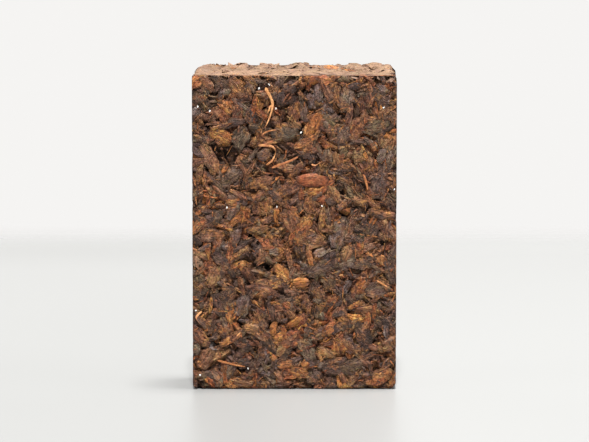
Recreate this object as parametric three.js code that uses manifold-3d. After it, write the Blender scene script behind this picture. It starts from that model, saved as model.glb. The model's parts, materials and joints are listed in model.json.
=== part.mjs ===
// A nugget of ripe pu-erh tea: broken dark leaf, pressed in a small rectangular mould into a block
// for one brew, standing on its end. Each piece of leaf shows as a few facets of relief: those that
// the mould pressed are flat and flush, the others lie lower, with cracks between them. Stalks are
// fused to the front, and the top is left craggy towards the back, with a chip off one corner.
// Millimetres, +Z up, the broad front face towards -Y, the origin at the middle of the base.

import * as THREE from "three";
import { mergeVertices } from "three/addons/utils/BufferGeometryUtils.js";
import Module from "manifold-3d";

const wasm = await Module();
wasm.setup();

// Driving dimensions
const WIDTH = 25; // across the broad face
const THICKNESS = 8; // front to back
const HEIGHT = 38.8; // from the base to the top's front edge
const FACET = 0.87; // spacing of the relief's corners
const FACET_JITTER = 0.24; // how far a corner is moved along its face
const EDGE_WEAR = 0.05; // how far the block's edges are worn in
const EDGE_RELIEF = 0.13; // the deepest relief along an edge
const CORNER_WEAR = 0.14; // how far the eight corners are worn in, past the edges
const FOOT_ROUNDING = 0.2; // how far the two short edges of the base are rounded off

// Pieces of leaf
const LEAF_AREA = 4.4; // face area for each piece, in square millimetres
const LEAF_LENGTH = [1.9, 4.8]; // shortest and longest
const LEAF_SLIMNESS = [0.34, 0.7]; // breadth over length
const LEAF_HEIGHT = [-0.4, 0.2]; // its middle, from the mould's face, before it is pressed
const LEAF_TILT = 0.18; // rise over run
const CRACK_REACH = 0.42; // how far a crack spreads, as a share of a piece's half size
const CRACK_DEPTH = [0.1, 0.6];

// Stalks and shreds on the front face that stand out: points along each, left to right and up
// from the middle of the base, and its width
const STALKS = [
  { points: [[-3.4, 37.1], [-2.6, 35.5], [-2.7, 34.3], [-3.5, 32.3]], width: 0.5 },
  { points: [[-2.8, 27.4], [-0.4, 28.3], [0.6, 28.9]], width: 0.4 },
  { points: [[-4.4, 30.2], [-2.2, 30.1], [-2.6, 28.1], [-3.4, 27.8]], width: 0.4 },
  { points: [[8.4, 26.7], [8.9, 25.4], [9.1, 24.2]], width: 0.36 },
  { points: [[-11.2, 9.6], [-12, 8.7], [-11.3, 7.9]], width: 0.4 },
  { points: [[2.1, 27.9], [3, 28.2], [3.6, 28.1]], width: 0.36 },
  { points: [[3.4, 22.6], [4.1, 20.9], [4.2, 19.2]], width: 0.4 },
];
const STALK_SIDES = 5;
const STALK_STEP = 0.9; // length of one facet along a stalk
const STALK_SUNK = 0.44; // depth of its middle line in the mould's face, as a share of its width
const STALK_BED = { depth: 0.26, reach: 0.8 }; // the low leaf round a stalk

// The loose top swells towards the back, and fades out along its edges
const SWELL = { rise: 0.36, fromFront: 6.5, fromSide: 1 };

// Crags on it: left to right, front to back, height above the swell, and radius
const CRAGS = [
  [-10.4, 2.2, 0.3, 1.5], [-6.5, 2.6, 0.4, 1.6], [-3.6, 2.5, 0.36, 1.3], [0.6, 2.7, 0.5, 2],
  [4.2, 2.5, 0.16, 1.4], [7.3, 2.6, 0.4, 1.5], [9.8, 2.7, 0.5, 1.7], [11.4, 2.2, 0.3, 1.1],
];
const LOOSE_LEAF = { rise: 0.16, fromFront: 2 }; // leaf on the top that the mould didn't press

// The chip missing from the top's back left corner: its reach across, along and down
const MISSING_CHIP = [1.9, 3.4, 1];

// The middle of the base is pressed flat, and so is a rim just inside its edges
const FLAT_PAD = 1.9; // radius
const PAD_FADE = 1.3; // width of the band in which the relief comes back
const FLAT_RIM = 1.4; // width of the rim, from the edges

const LEAF_BROWN = 0x4a3226;

// A random draw that gives the same block each time
let drawState = 5417;
function draw() {
  drawState = (drawState + 0x6d2b79f5) | 0;
  let bits = Math.imul(drawState ^ (drawState >>> 15), 1 | drawState);
  bits = (bits + Math.imul(bits ^ (bits >>> 7), 61 | bits)) ^ bits;
  return ((bits ^ (bits >>> 14)) >>> 0) / 4294967296;
}
const between = ([low, high]) => low + (high - low) * draw();
const smooth = (t) => THREE.MathUtils.smoothstep(t, 0, 1);

// Until the block is lifted onto its base, everything is measured from its middle
const AXES = ["x", "y", "z"];
const HALF = new THREE.Vector3(WIDTH / 2, THICKNESS / 2, HEIGHT / 2);

// A geometry's positions and triangles, with its shared corners merged
function welded(geometry) {
  const bare = new THREE.BufferGeometry();
  bare.setAttribute("position", geometry.getAttribute("position"));
  if (geometry.index) bare.setIndex(geometry.index);
  return mergeVertices(bare, 1e-4);
}

// The closed solid of a three.js geometry
function solid(geometry) {
  const { attributes, index } = welded(geometry);
  return new wasm.Manifold(
    new wasm.Mesh({
      numProp: 3,
      vertProperties: new Float32Array(attributes.position.array),
      triVerts: new Uint32Array(index.array),
    }),
  );
}

// A random point of one face of the block
function pointOn(axis, sign, others) {
  const point = new THREE.Vector3();
  point[axis] = sign * HALF[axis];
  for (const other of others) point[other] = between([-1, 1]) * HALF[other];
  return point;
}

// A piece of leaf lying on one face, at a place that is the best of a few, furthest from the others
function pieceOn(axis, sign, placed) {
  const others = AXES.filter((other) => other !== axis);
  const trials = Array.from({ length: 7 }, () => pointOn(axis, sign, others));
  const room = (point) => Math.min(WIDTH, ...placed.map((piece) => piece.middle.distanceTo(point)));
  const middle = trials.reduce((best, point) => (room(point) > room(best) ? point : best));
  const turn = Math.PI * draw();
  const along = new THREE.Vector3();
  along[others[0]] = Math.cos(turn);
  along[others[1]] = Math.sin(turn);
  const out = new THREE.Vector3();
  out[axis] = sign;
  const length = between(LEAF_LENGTH);
  return {
    middle,
    along,
    across: new THREE.Vector3().crossVectors(out, along),
    out,
    halfLength: length / 2,
    halfBreadth: (length * between(LEAF_SLIMNESS)) / 2,
    height: between(LEAF_HEIGHT),
    slopes: [between([-LEAF_TILT, LEAF_TILT]), between([-LEAF_TILT, LEAF_TILT])],
    crack: between(CRACK_DEPTH),
  };
}

// The pieces of leaf on all six faces
const leafPieces = AXES.flatMap((axis) => {
  const [first, second] = AXES.filter((other) => other !== axis);
  const count = Math.round((4 * HALF[first] * HALF[second]) / LEAF_AREA);
  return [-1, 1].flatMap((sign) => {
    const placed = [];
    while (placed.length < count) placed.push(pieceOn(axis, sign, placed));
    return placed;
  });
});

// Height of the leaf at a point of the surface, from the mould's face, before it is pressed
function leafHeight(point) {
  const gap = new THREE.Vector3();
  const reaches = leafPieces.map((piece) => {
    gap.subVectors(point, piece.middle);
    const along = gap.dot(piece.along);
    const across = gap.dot(piece.across);
    const out = gap.dot(piece.out);
    const reach = Math.hypot(along / piece.halfLength, across / piece.halfBreadth, out / piece.halfBreadth);
    return { piece, reach, along, across };
  });
  const [nearest, next] = reaches.sort((a, b) => a.reach - b.reach);
  const { piece, along, across } = nearest;
  const crack = piece.crack * (1 - smooth((next.reach - nearest.reach) / CRACK_REACH));
  return piece.height + piece.slopes[0] * along + piece.slopes[1] * across - crack;
}

// The stalks' middle lines, and how near a point lies to one
const stalkLines = STALKS.map(({ points, width }) => {
  const depth = STALK_SUNK * width - HALF.y;
  return new THREE.CatmullRomCurve3(points.map(([x, z]) => new THREE.Vector3(x, depth, z - HALF.z)));
});
const stalkPoints = stalkLines.flatMap((line) => line.getSpacedPoints(12));
const toStalk = (point) => Math.min(...stalkPoints.map((spot) => spot.distanceTo(point)));

// How high leaf may stand at a point: as high as the mould, but for loose leaf and crags on the top
function ceiling(point) {
  if (point.z < HALF.z) return 0;
  return LOOSE_LEAF.rise * smooth((point.y + HALF.y) / LOOSE_LEAF.fromFront);
}
function cragRise(point) {
  const rises = CRAGS.map(([x, y, rise, radius]) => {
    return rise * (1 - smooth(Math.hypot(point.x - x, point.y - y) / radius));
  });
  const back = smooth((point.y + HALF.y) / SWELL.fromFront);
  const inside = smooth((HALF.x - Math.abs(point.x)) / SWELL.fromSide);
  return Math.max(...rises) + SWELL.rise * back * inside;
}

// How much relief the base keeps at a point: none on its pad and its rim
function baseRelief(point) {
  const toEdge = Math.min(HALF.x - Math.abs(point.x), HALF.y - Math.abs(point.y));
  if (toEdge < FLAT_RIM) return 0;
  return smooth((Math.hypot(point.x, point.y) - FLAT_PAD) / PAD_FADE);
}

// Height of the finished surface at a point, from the mould's faces that it lies on
function surfaceHeight(point, outer) {
  let height = Math.min(ceiling(point), leafHeight(point));
  if (toStalk(point) < STALK_BED.reach) height = -STALK_BED.depth;
  if (point.z === -HALF.z) height *= baseRelief(point);
  if (outer.length === 1) return height;
  height = Math.max(height, -EDGE_RELIEF) - EDGE_WEAR;
  if (outer.length === 3) height -= CORNER_WEAR;
  if (point.z === -HALF.z && outer.includes("x")) height -= FOOT_ROUNDING;
  return height;
}

// Splits each square of the relief along the diagonal that bends less, so that facets follow leaf
function followRelief({ index }, heights) {
  for (let i = 0; i < index.count; i += 6) {
    // BoxGeometry stores a square's corners as a, b, d and b, c, d
    const [a, b, d, , c] = Array.from({ length: 5 }, (_, j) => index.getX(i + j));
    if (Math.abs(heights[a] - heights[c]) < Math.abs(heights[b] - heights[d])) {
      [a, b, c, a, c, d].forEach((corner, j) => index.setX(i + j, corner));
    }
  }
}

// The pressed leaf: a block whose facets follow the pieces of leaf
function pressedLeaf() {
  const size = [WIDTH, THICKNESS, HEIGHT];
  const block = welded(new THREE.BoxGeometry(...size, ...size.map((s) => Math.round(s / FACET))));
  const position = block.getAttribute("position");
  const heights = [];
  const point = new THREE.Vector3();
  for (let i = 0; i < position.count; i++) {
    point.fromBufferAttribute(position, i);
    const outer = AXES.filter((axis) => Math.abs(Math.abs(point[axis]) - HALF[axis]) < 1e-4);
    for (const axis of AXES) {
      if (outer.includes(axis)) point[axis] = Math.sign(point[axis]) * HALF[axis];
      else point[axis] += between([-FACET_JITTER, FACET_JITTER]);
    }
    const height = surfaceHeight(point, outer);
    const crags = point.z === HALF.z ? cragRise(point) : 0;
    // Loose leaf on the top rises, and never spreads past the sides
    for (const axis of outer) {
      point[axis] += Math.sign(point[axis]) * (axis === "z" ? height : Math.min(0, height));
    }
    position.setXYZ(i, point.x, point.y, point.z + crags);
    heights.push(height + crags);
  }
  followRelief(block, heights);
  return solid(block);
}

// A stalk pressed into the front face, along its middle line
function stalk(line, { width }) {
  const corners = Array.from({ length: STALK_SIDES }, (_, i) => {
    const angle = (2 * Math.PI * i) / STALK_SIDES;
    return new THREE.Vector2((width / 2) * Math.cos(angle), (width / 2) * Math.sin(angle));
  });
  const rod = new THREE.ExtrudeGeometry(new THREE.Shape(corners), {
    extrudePath: line,
    steps: Math.max(2, Math.round(line.getLength() / STALK_STEP)),
    curveSegments: 1,
  });
  return solid(rod);
}

// The chip that is missing from the top's back left corner
function missingChip() {
  const chip = new THREE.OctahedronGeometry(1).scale(...MISSING_CHIP);
  return solid(chip.translate(-HALF.x, HALF.y, HALF.z));
}

// The whole nugget, with its stalks pressed flush by the mould, lifted onto its base
const mould = solid(new THREE.BoxGeometry(WIDTH, THICKNESS, HEIGHT));
const stalks = wasm.Manifold.union(stalkLines.map((line, i) => stalk(line, STALKS[i])));
const whole = pressedLeaf().subtract(missingChip()).add(stalks.intersect(mould));
const shape = whole.translate(0, 0, HALF.z).getMesh();

const geometry = new THREE.BufferGeometry();
geometry.setAttribute("position", new THREE.BufferAttribute(shape.vertProperties, shape.numProp));
geometry.setIndex(new THREE.BufferAttribute(shape.triVerts, 1));
geometry.computeVertexNormals();

const nugget = new THREE.Mesh(
  geometry,
  new THREE.MeshStandardMaterial({ color: LEAF_BROWN, roughness: 0.8, metalness: 0 }),
);
nugget.name = "tea_nugget";

const part = new THREE.Group();
part.add(nugget);

export default part;
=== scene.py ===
# %% [markdown]
# # A nugget of ripe pu-erh tea
#
# This lesson dresses a small block of pressed tea: dark, broken leaf that a mould squeezed into a
# block for one brew. Its size and its place are fixed already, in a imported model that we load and
# never move. What we add is what makes it tea: thousands of crumpled bits of leaf, pale stalks,
# fine fibres and crumbs, pressed flush where the mould was and left rough on top.

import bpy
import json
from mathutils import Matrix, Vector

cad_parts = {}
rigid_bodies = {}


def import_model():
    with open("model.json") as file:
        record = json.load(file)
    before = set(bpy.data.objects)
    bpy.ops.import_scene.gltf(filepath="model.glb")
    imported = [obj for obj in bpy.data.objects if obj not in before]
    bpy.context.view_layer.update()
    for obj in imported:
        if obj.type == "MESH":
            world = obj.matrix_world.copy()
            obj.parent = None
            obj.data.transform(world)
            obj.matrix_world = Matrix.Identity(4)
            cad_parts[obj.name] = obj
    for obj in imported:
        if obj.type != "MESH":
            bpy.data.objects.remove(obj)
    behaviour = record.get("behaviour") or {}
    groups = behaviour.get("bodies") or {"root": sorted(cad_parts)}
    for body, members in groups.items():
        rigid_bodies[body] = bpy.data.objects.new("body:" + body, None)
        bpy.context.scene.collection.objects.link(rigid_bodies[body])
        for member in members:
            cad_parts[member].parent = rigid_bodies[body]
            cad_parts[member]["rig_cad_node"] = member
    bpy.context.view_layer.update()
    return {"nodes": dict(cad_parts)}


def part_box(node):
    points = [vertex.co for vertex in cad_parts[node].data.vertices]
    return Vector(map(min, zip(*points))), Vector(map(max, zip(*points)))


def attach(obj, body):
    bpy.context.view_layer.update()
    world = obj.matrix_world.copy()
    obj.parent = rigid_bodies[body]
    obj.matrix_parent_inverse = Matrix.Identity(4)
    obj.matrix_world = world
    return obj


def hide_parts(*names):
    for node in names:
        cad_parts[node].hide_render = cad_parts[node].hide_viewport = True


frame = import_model()

# %% [markdown]
# ## Measures
#
# Tea is small, so we think in millimetres and turn them into Blender's metres at the last moment.
# The block stands on its narrow end: X goes across it, Y through it from front to back, and Z up.
# The picture that we work from shows the front almost squarely, so a place read off the picture
# becomes a place on the front by a simple proportion.

# %% Measures of the block and of the picture
import itertools
import json
import math

import bpy
import numpy as np
from mathutils import Vector

MM = 0.001
block_low, block_high = (np.array(corner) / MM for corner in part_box("tea_nugget"))
HALF_WIDTH = block_high[0]
HALF_DEPTH = block_high[1]
FRONT_TOP = 38.68  # the height of the leaf along the top's front edge, below the crags
RANDOM_SEED = 29

PICTURE_WIDTH = 589
FRONT_LEFT, FRONT_RIGHT = 192.5, 396.3  # the front's edges in the picture, in pixels
FRONT_UPPER, FRONT_LOWER = 75.7, 389.0
PIXEL = 2 * HALF_WIDTH / (FRONT_RIGHT - FRONT_LEFT)  # millimetres of the front for each pixel


def on_front(px, py):
    """The place on the block's front that the picture shows at a pixel: X and Z in millimetres."""
    x = (px - (FRONT_LEFT + FRONT_RIGHT) / 2) * PIXEL
    z = (FRONT_LOWER - py) * FRONT_TOP / (FRONT_LOWER - FRONT_UPPER)
    return x, z


print("one pixel of the front is", round(PIXEL, 4), "mm")

# %% [markdown]
# ## The camera
#
# The sides of the block hardly converge in the picture, and its top shows as a thin strip. That is
# a long lens, well back, a few degrees above the tea. We put the camera on a line that rises eight
# degrees towards us and aim it a little above the middle of the block, as the picture does.

# %% Camera
CAMERA_DISTANCE = 450
CAMERA_ELEVATION = math.radians(8)
AIM_ABOVE_MIDDLE = 0.99
AIM_ASIDE = 0.01
CLOSER = 1.0048  # the pressed edges are a little worn, so the block is shown this much larger
SENSOR = 36

aim = Vector((AIM_ASIDE, 0, FRONT_TOP / 2 + AIM_ABOVE_MIDDLE))
back_off = Vector((0, -math.cos(CAMERA_ELEVATION), math.sin(CAMERA_ELEVATION)))
bpy.ops.object.camera_add()
camera = bpy.context.object
camera.name = "camera"
camera.location = (aim + back_off * CAMERA_DISTANCE) * MM
camera.rotation_euler = back_off.to_track_quat("Z", "Y").to_euler()
camera.data.sensor_width = SENSOR
camera.data.lens = CLOSER * SENSOR * (CAMERA_DISTANCE - HALF_DEPTH) / PIXEL / PICTURE_WIDTH
camera.data.clip_start = 0.01
bpy.context.scene.camera = camera
print("lens", round(camera.data.lens, 1), "mm")

# %% [markdown]
# ## Small helpers
#
# Every operator works on what is selected, so each step first clears the selection. Points are
# then picked by where they are. The last helpers apply a modifier and set the shading.


# %% Helpers
def select_none():
    """Clears the selection in object mode."""
    if bpy.context.object and bpy.context.object.mode != "OBJECT":
        bpy.ops.object.mode_set(mode="OBJECT")
    bpy.ops.object.select_all(action="DESELECT")


def work_on(thing):
    """Makes one object the only selected and active one."""
    select_none()
    thing.select_set(True)
    bpy.context.view_layer.objects.active = thing


def pick_points(thing, wanted):
    """Goes into edit mode with only those points of a mesh selected that wanted(place) says."""
    work_on(thing)
    bpy.ops.object.mode_set(mode="EDIT")
    bpy.ops.mesh.select_all(action="DESELECT")
    bpy.ops.mesh.select_mode(type="VERT")
    bpy.ops.object.mode_set(mode="OBJECT")
    for point in thing.data.vertices:
        point.select = bool(wanted(point.co))
    bpy.ops.object.mode_set(mode="EDIT")


def apply_modifier(thing, kind, **settings):
    """Adds a modifier, sets it and applies it at once."""
    work_on(thing)
    bpy.ops.object.modifier_add(type=kind)
    modifier = thing.modifiers[-1]
    for name, value in settings.items():
        setattr(modifier, name, value)
    bpy.ops.object.modifier_apply(modifier=modifier.name)


def smooth(thing, angle=50):
    """Shades a mesh smooth, but for edges sharper than an angle in degrees."""
    work_on(thing)
    bpy.ops.object.shade_smooth_by_angle(angle=math.radians(angle))


# %% [markdown]
# ## Floor, wall and light
#
# The tea stands on a pale, slightly glossy table in front of a white wall. The wall is so far out of focus
# that it has no features, so the world's white does for it. The table ends a hand's breadth behind the block
# and fades there. Its colour carries painted light and shade: lighter on the block's right and towards the
# back, with painted shade at its far end.

# %% Floor
FLOOR_BACK = 142  # where the table ends, behind the block
FLOOR_REACH = 700
FLOOR_FADE = 34
WALL_WHITE = (0.915, 0.905, 0.89)

select_none()
bpy.ops.mesh.primitive_plane_add(size=2)
floor = bpy.context.object
floor.name = "floor"
floor.scale = (FLOOR_REACH * MM, FLOOR_REACH * MM, 1)
floor.location = (0, (FLOOR_BACK - FLOOR_REACH) * MM, 0)
bpy.ops.object.transform_apply(location=True, rotation=True, scale=True)
print("floor", [round(side, 3) for side in floor.dimensions])


# %% Materials are built with a few short helpers
def new_material(name):
    """A material with an empty node tree, and that tree."""
    material = bpy.data.materials.new(name)
    material.use_nodes = True
    material.node_tree.nodes.clear()
    return material, material.node_tree


def add_node(tree, kind, inputs=None, **settings):
    """A shader node. Each input is a number, a colour, or another node's output to link to it."""
    node = tree.nodes.new("ShaderNode" + kind)
    for name, value in settings.items():
        setattr(node, name, value)
    for name, value in (inputs or {}).items():
        if isinstance(value, bpy.types.NodeSocket):
            tree.links.new(value, node.inputs[name])
        else:
            node.inputs[name].default_value = value
    return node


def blend_sum(tree, start, *shares):
    """A number plus shares of other outputs: each share is an output and its weight."""
    total = start
    for output, weight in shares:
        node = add_node(tree, "Math", {0: output, 1: weight, 2: total}, operation="MULTIPLY_ADD")
        total = node.outputs["Value"]
    return total


def colour_steps(tree, value, steps):
    """A colour that follows a value through steps, each of a position and a colour."""
    ramp = add_node(tree, "ValToRGB", {"Fac": value})
    marks = ramp.color_ramp.elements
    while len(marks) < len(steps):
        marks.new(0.5)
    for mark, (position, colour) in zip(marks, steps):
        mark.position = position
        mark.color = (*colour, 1)
    return ramp.outputs["Color"]


# %% Floor finish
# The table's colour under painted shade and under painted light.
FLOOR_IN_PAINTED_SHADE = (0.183, 0.183, 0.178, 1)
FLOOR_IN_PAINTED_LIGHT = (0.215, 0.215, 0.21, 1)


def floor_finish():
    """A pale satin table that fades out at its far edge, with painted light and shade in its colour."""
    material, tree = new_material("pale_table")
    places = add_node(tree, "TexCoord").outputs["Object"]
    across, depth = add_node(tree, "SeparateXYZ", {"Vector": places}).outputs[:2]
    patches = add_node(tree, "TexNoise", {"Vector": places, "Scale": 9.0, "Detail": 3.0})
    # Painted shade: the table's colour darkens towards its far end.
    painted_far_shade = add_node(
        tree, "MapRange",
        {"Value": depth, "From Min": 92 * MM, "From Max": 125 * MM, "To Min": 0.0, "To Max": 0.8},
    ).outputs["Result"]
    # Painted light: the table's colour is lighter on the block's right.
    painted_light_on_right = add_node(
        tree, "MapRange",
        {"Value": across, "From Min": -15 * MM, "From Max": 13 * MM, "To Min": -0.14, "To Max": 0.4},
        interpolation_type="SMOOTHSTEP",
    ).outputs["Result"]
    # Painted light and shade in the table's colour: lighter towards the back and on the right, with patches,
    # less the painted shade far off.
    painted_light_and_patches = blend_sum(
        tree, 0.33, (patches.outputs["Fac"], 0.5), (depth, 4.5), (painted_light_on_right, 1.0), (painted_far_shade, -1.0)
    )
    colour = add_node(tree, "MixRGB", {"Fac": painted_light_and_patches, "Color1": FLOOR_IN_PAINTED_SHADE, "Color2": FLOOR_IN_PAINTED_LIGHT})
    satin = add_node(
        tree, "BsdfPrincipled",
        {"Base Color": colour.outputs["Color"], "Roughness": 0.38, "Specular IOR Level": 0.52},
    )
    fade = add_node(
        tree, "MapRange",
        {
            "Value": depth,
            "From Min": (FLOOR_BACK - FLOOR_FADE) * MM,
            "From Max": FLOOR_BACK * MM,
            "To Min": 0.0,
            "To Max": 1.0,
        },
        interpolation_type="SMOOTHSTEP",
    )
    clear = add_node(tree, "BsdfTransparent")
    mixed = add_node(
        tree, "MixShader",
        {"Fac": fade.outputs["Result"], 1: satin.outputs["BSDF"], 2: clear.outputs["BSDF"]},
    )
    add_node(tree, "OutputMaterial", {"Surface": mixed.outputs["Shader"]})
    return material


floor.data.materials.append(floor_finish())

# %% [markdown]
# Most of the light comes from a lamp high in front. It makes the top glow, picks out every
# crumpled bit of the front from above, and its shadow falls behind the block. A softer lamp
# overhead, a little to the right, leaves a short shadow at the left foot. Weak lamps on both sides,
# low in front and behind lighten the rest.

# %% World and lamps
ROOM_LIGHT = 0.16  # the room's white as it lights things, against the wall's as it is seen
scene = bpy.context.scene
scene.view_settings.view_transform = "Standard"


def room():
    """The white wall all round, dimmer as a light than as a sight."""
    world = bpy.data.worlds.new("room")
    world.use_nodes = True
    tree = world.node_tree
    tree.nodes.clear()
    seen = add_node(tree, "Background", {"Color": (*WALL_WHITE, 1), "Strength": 1.0})
    lights = add_node(tree, "Background", {"Color": (*WALL_WHITE, 1), "Strength": ROOM_LIGHT})
    diffuse = add_node(tree, "LightPath").outputs["Is Diffuse Ray"]
    mixed = add_node(
        tree, "MixShader",
        {"Fac": diffuse, 1: seen.outputs["Background"], 2: lights.outputs["Background"]},
    )
    add_node(tree, "OutputWorld", {"Surface": mixed.outputs["Shader"]})
    return world


scene.world = room()


def soft_lamp(name, place, size, watts):
    """A large square lamp that faces the block, at a place in millimetres."""
    select_none()
    bpy.ops.object.light_add(type="AREA", location=Vector(place) * MM)
    lamp = bpy.context.object
    lamp.name = name
    lamp.data.shape = "SQUARE"
    lamp.data.size = size * MM
    lamp.data.energy = watts
    away = Vector(place) - Vector((0, 0, FRONT_TOP / 2))
    lamp.rotation_euler = away.to_track_quat("Z", "Y").to_euler()
    return lamp


soft_lamp("key_high_front", (4, -560, 1500), 100, 55.0)
soft_lamp("overhead", (66, 5, 640), 110, 6.1)
soft_lamp("side_right", (420, -100, 260), 260, 0.7)
soft_lamp("side_left", (-420, -120, 300), 260, 0.4)
soft_lamp("front_fill", (30, -430, 240), 240, 0.3)
soft_lamp("back_right", (400, 230, 170), 240, 0.35)
soft_lamp("back_left", (-400, 230, 170), 240, 0.35)

# %% [markdown]
# ## The imported middle
#
# Between the bits of leaf that show, one looks into packed leaf, whose near-black colour is painted shade
# for the gaps. It is the imported model's own shape, copied, rebuilt with even faces, pulled in under the
# surface and roughened with a noise displacement. It stands for the model's block, so that one is hidden.

# %% The imported middle
block_middle = np.array([0, 0, FRONT_TOP / 2])
half_sizes = np.array([HALF_WIDTH, HALF_DEPTH, FRONT_TOP / 2])
MIDDLE_VOXEL = 0.22
MIDDLE_SUNK = 1.0
MIDDLE_ROUGHNESS = 0.26
MIDDLE_COVER = 0.7  # it lies at least this far inside the block's walls


def packed_middle():
    """Packed leaf inside the block, a little smaller than it, later coloured near-black as painted shade."""
    work_on(frame["nodes"]["tea_nugget"])
    bpy.ops.object.duplicate()
    piece = bpy.context.object
    piece.name = "packed_middle"
    del piece["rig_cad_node"]
    piece.data.materials.clear()
    apply_modifier(piece, "WELD", merge_threshold=0.001 * MM)
    apply_modifier(piece, "REMESH", mode="VOXEL", voxel_size=MIDDLE_VOXEL * MM)
    lumps = bpy.data.textures.new("lumps", type="CLOUDS")
    lumps.noise_scale = 0.8 * MM
    lumps.noise_depth = 2
    apply_modifier(piece, "DISPLACE", strength=-MIDDLE_SUNK * MM, mid_level=0)
    apply_modifier(
        piece, "DISPLACE", texture=lumps, strength=MIDDLE_ROUGHNESS * MM, texture_coords="LOCAL"
    )
    lowest = np.append(-half_sizes[:2], 0) + MIDDLE_COVER
    highest = np.append(half_sizes[:2], FRONT_TOP) - MIDDLE_COVER
    for point in piece.data.vertices:
        point.co = Vector(np.clip(np.array(point.co) / MM, lowest, highest)) * MM
    smooth(piece, 60)
    return piece


middle_piece = packed_middle()
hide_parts("tea_nugget")
print("packed middle:", len(middle_piece.data.polygons), "faces")

# %% [markdown]
# ## Shapes of broken leaf
#
# Look closely and the block is a mosaic: broad wrinkled leaf, flat flakes, leaf folded along its rib, leaf
# rolled into thin tubes, twisted strips, knots and closed buds. Each is modelled once, a thousand times too
# large, so one of Blender's units is a millimetre. A leaf starts as a small grid, is torn along its edge,
# tapered, creased or rolled, and is then given a thickness, with both of its faces split into triangles
# alike. Before it is bent, each point notes where on the flat leaf it lies: the finish later draws the
# leaf's grain by that. A bud notes it while it is still a small ball, so its few streaks come out broad and
# soft.

# %% A flat blank to start each leaf from
LEAF_THICKNESS = 0.13
GRAIN = "grain"


def note_grain(thing):
    """Notes each point's place on the flat leaf, along it and across it."""
    notes = thing.data.attributes.new(GRAIN, "FLOAT_VECTOR", "POINT")
    places = np.array([point.co for point in thing.data.vertices], np.float32)
    notes.data.foreach_set("vector", places.ravel())


def blank_leaf(seed, length=2.0, breadth=1.0, along=4, across=4, torn=0.1):
    """A flat bit of leaf, its length along X, with a torn outline."""
    select_none()
    bpy.ops.mesh.primitive_grid_add(x_subdivisions=along, y_subdivisions=across, size=1)
    leaf = bpy.context.object
    leaf.scale = (length, breadth, 1)
    bpy.ops.object.transform_apply(location=False, rotation=False, scale=True)
    pick_points(leaf, lambda p: abs(p.x) > 0.49 * length or abs(p.y) > 0.49 * breadth)
    bpy.ops.transform.vertex_random(offset=torn, uniform=0.3, normal=0, seed=seed)
    bpy.ops.mesh.select_all(action="SELECT")
    bpy.ops.mesh.quads_convert_to_tris(quad_method="FIXED", ngon_method="BEAUTY")
    bpy.ops.object.mode_set(mode="OBJECT")
    note_grain(leaf)
    return leaf


def taper_end(leaf, end, share):
    """Narrows one end of a leaf: the points beyond a place along it draw together."""
    pick_points(leaf, lambda p: p.x * end > 0.36 * leaf.dimensions.x)
    bpy.ops.transform.resize(value=(1, share, 1), center_override=(0, 0, 0))
    bpy.ops.object.mode_set(mode="OBJECT")


def crumple(leaf, height, seed):
    """Pushes every point up or down by a random share of a height."""
    pick_points(leaf, lambda p: True)
    bpy.ops.transform.vertex_random(offset=height, uniform=0, normal=1, seed=seed)
    bpy.ops.object.mode_set(mode="OBJECT")


def raise_ridge(leaf, wanted, height):
    """Lifts the points of a ridge, so that the leaf is folded along it."""
    pick_points(leaf, wanted)
    bpy.ops.transform.translate(value=(0, 0, height))
    bpy.ops.object.mode_set(mode="OBJECT")


def thicken(leaf, thickness=LEAF_THICKNESS):
    """Gives the leaf its second face and its edge, and splits the edge into triangles too."""
    apply_modifier(leaf, "SOLIDIFY", thickness=thickness, offset=0)
    apply_modifier(leaf, "TRIANGULATE")


# %% The leaf shapes
def round_outline(leaf, first_end, last_end):
    """Narrows both ends of a leaf and lets its middle swell, so that it is no rectangle."""
    taper_end(leaf, -1, first_end)
    taper_end(leaf, 1, last_end)
    pick_points(leaf, lambda p: abs(p.x) < 0.13 * leaf.dimensions.x)
    bpy.ops.transform.resize(value=(1, 1.14, 1), center_override=(0, 0, 0))
    bpy.ops.object.mode_set(mode="OBJECT")


def broad_leaf(seed):
    """A broad leaf with lengthwise wrinkles and one fold across it."""
    leaf = blank_leaf(seed, 3.4, 1.8, along=9, across=5, torn=0.16)
    round_outline(leaf, 0.6, 0.5)
    row = 1.8 / 5
    raise_ridge(leaf, lambda p: round((p.y + 0.9) / row) % 2 == 1, 0.18)
    fold = -0.8 + 0.4 * (seed % 5)
    raise_ridge(leaf, lambda p: abs(p.x - fold - 0.5 * p.y) < 0.25, 0.22)
    crumple(leaf, 0.14, seed + 1)
    return leaf


def torn_flake(seed):
    """A torn flake, crumpled all over."""
    leaf = blank_leaf(seed, 1.9, 1.15, along=4, across=3, torn=0.18)
    round_outline(leaf, 0.62, 0.5)
    crumple(leaf, 0.18, seed + 1)
    return leaf


def folded_leaf(seed):
    """Leaf folded along its rib, with a sharp ridge."""
    leaf = blank_leaf(seed, 2.2, 1.0, along=4, across=4, torn=0.12)
    round_outline(leaf, 0.6, 0.36)
    raise_ridge(leaf, lambda p: abs(p.y) < 0.05, 0.3)
    crumple(leaf, 0.1, seed + 1)
    return leaf


def creased_leaf(seed):
    """Leaf with two lengthwise creases, as wilted leaf dries."""
    leaf = blank_leaf(seed, 2.0, 1.05, along=4, across=4, torn=0.14)
    round_outline(leaf, 0.5, 0.62)
    raise_ridge(leaf, lambda p: 0.15 < abs(p.y) < 0.35, 0.28)
    crumple(leaf, 0.1, seed + 1)
    return leaf


def wavy_leaf(seed):
    """A leaf whose middle rises and dips aslant."""
    leaf = blank_leaf(seed, 2.1, 0.95, along=6, across=2, torn=0.12)
    raise_ridge(leaf, lambda p: abs(abs(p.x + 0.6 * p.y) - 0.35) < 0.1, 0.22)
    crumple(leaf, 0.14, seed + 1)
    round_outline(leaf, 0.5, 0.6)
    return leaf


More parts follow.
